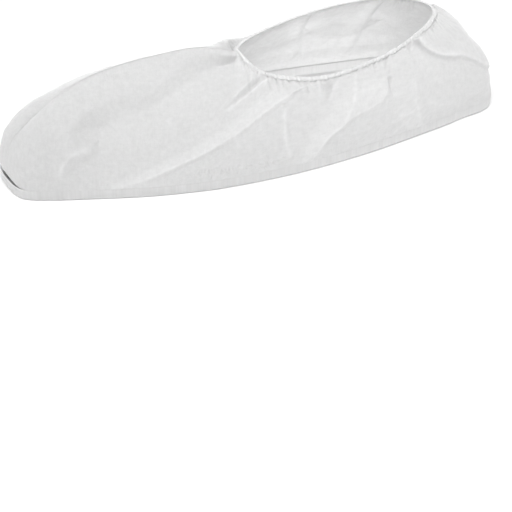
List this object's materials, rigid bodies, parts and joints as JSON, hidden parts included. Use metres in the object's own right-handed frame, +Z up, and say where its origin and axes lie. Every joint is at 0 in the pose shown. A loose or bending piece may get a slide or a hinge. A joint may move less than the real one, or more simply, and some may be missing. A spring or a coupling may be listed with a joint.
{
  "type": "disposable shoe cover",
  "caption": "White nonwoven overshoe with side panels sewn to a flat sole and a gathered elastic hem round the ankle opening.",
  "frame": {"origin": "on the floor under the middle of the sole, at the bottom centre of the cover's box", "axes": "+Z up, +Y from toe to heel, +X to the wearer's left"},
  "size_m": [0.1362, 0.3546, 0.0716],
  "materials": {
    "nonwoven_cloth": "matte white spunbond cloth with a fine fibre grain",
    "gathered_hem": "matte white cloth drawn into fine gathers over elastic"
  },
  "bodies": {
    "root": {"sole_panel": "nonwoven_cloth", "left_side_panel": "nonwoven_cloth", "right_side_panel": "nonwoven_cloth", "ankle_elastic_hem": "gathered_hem"}
  },
  "joints": []
}
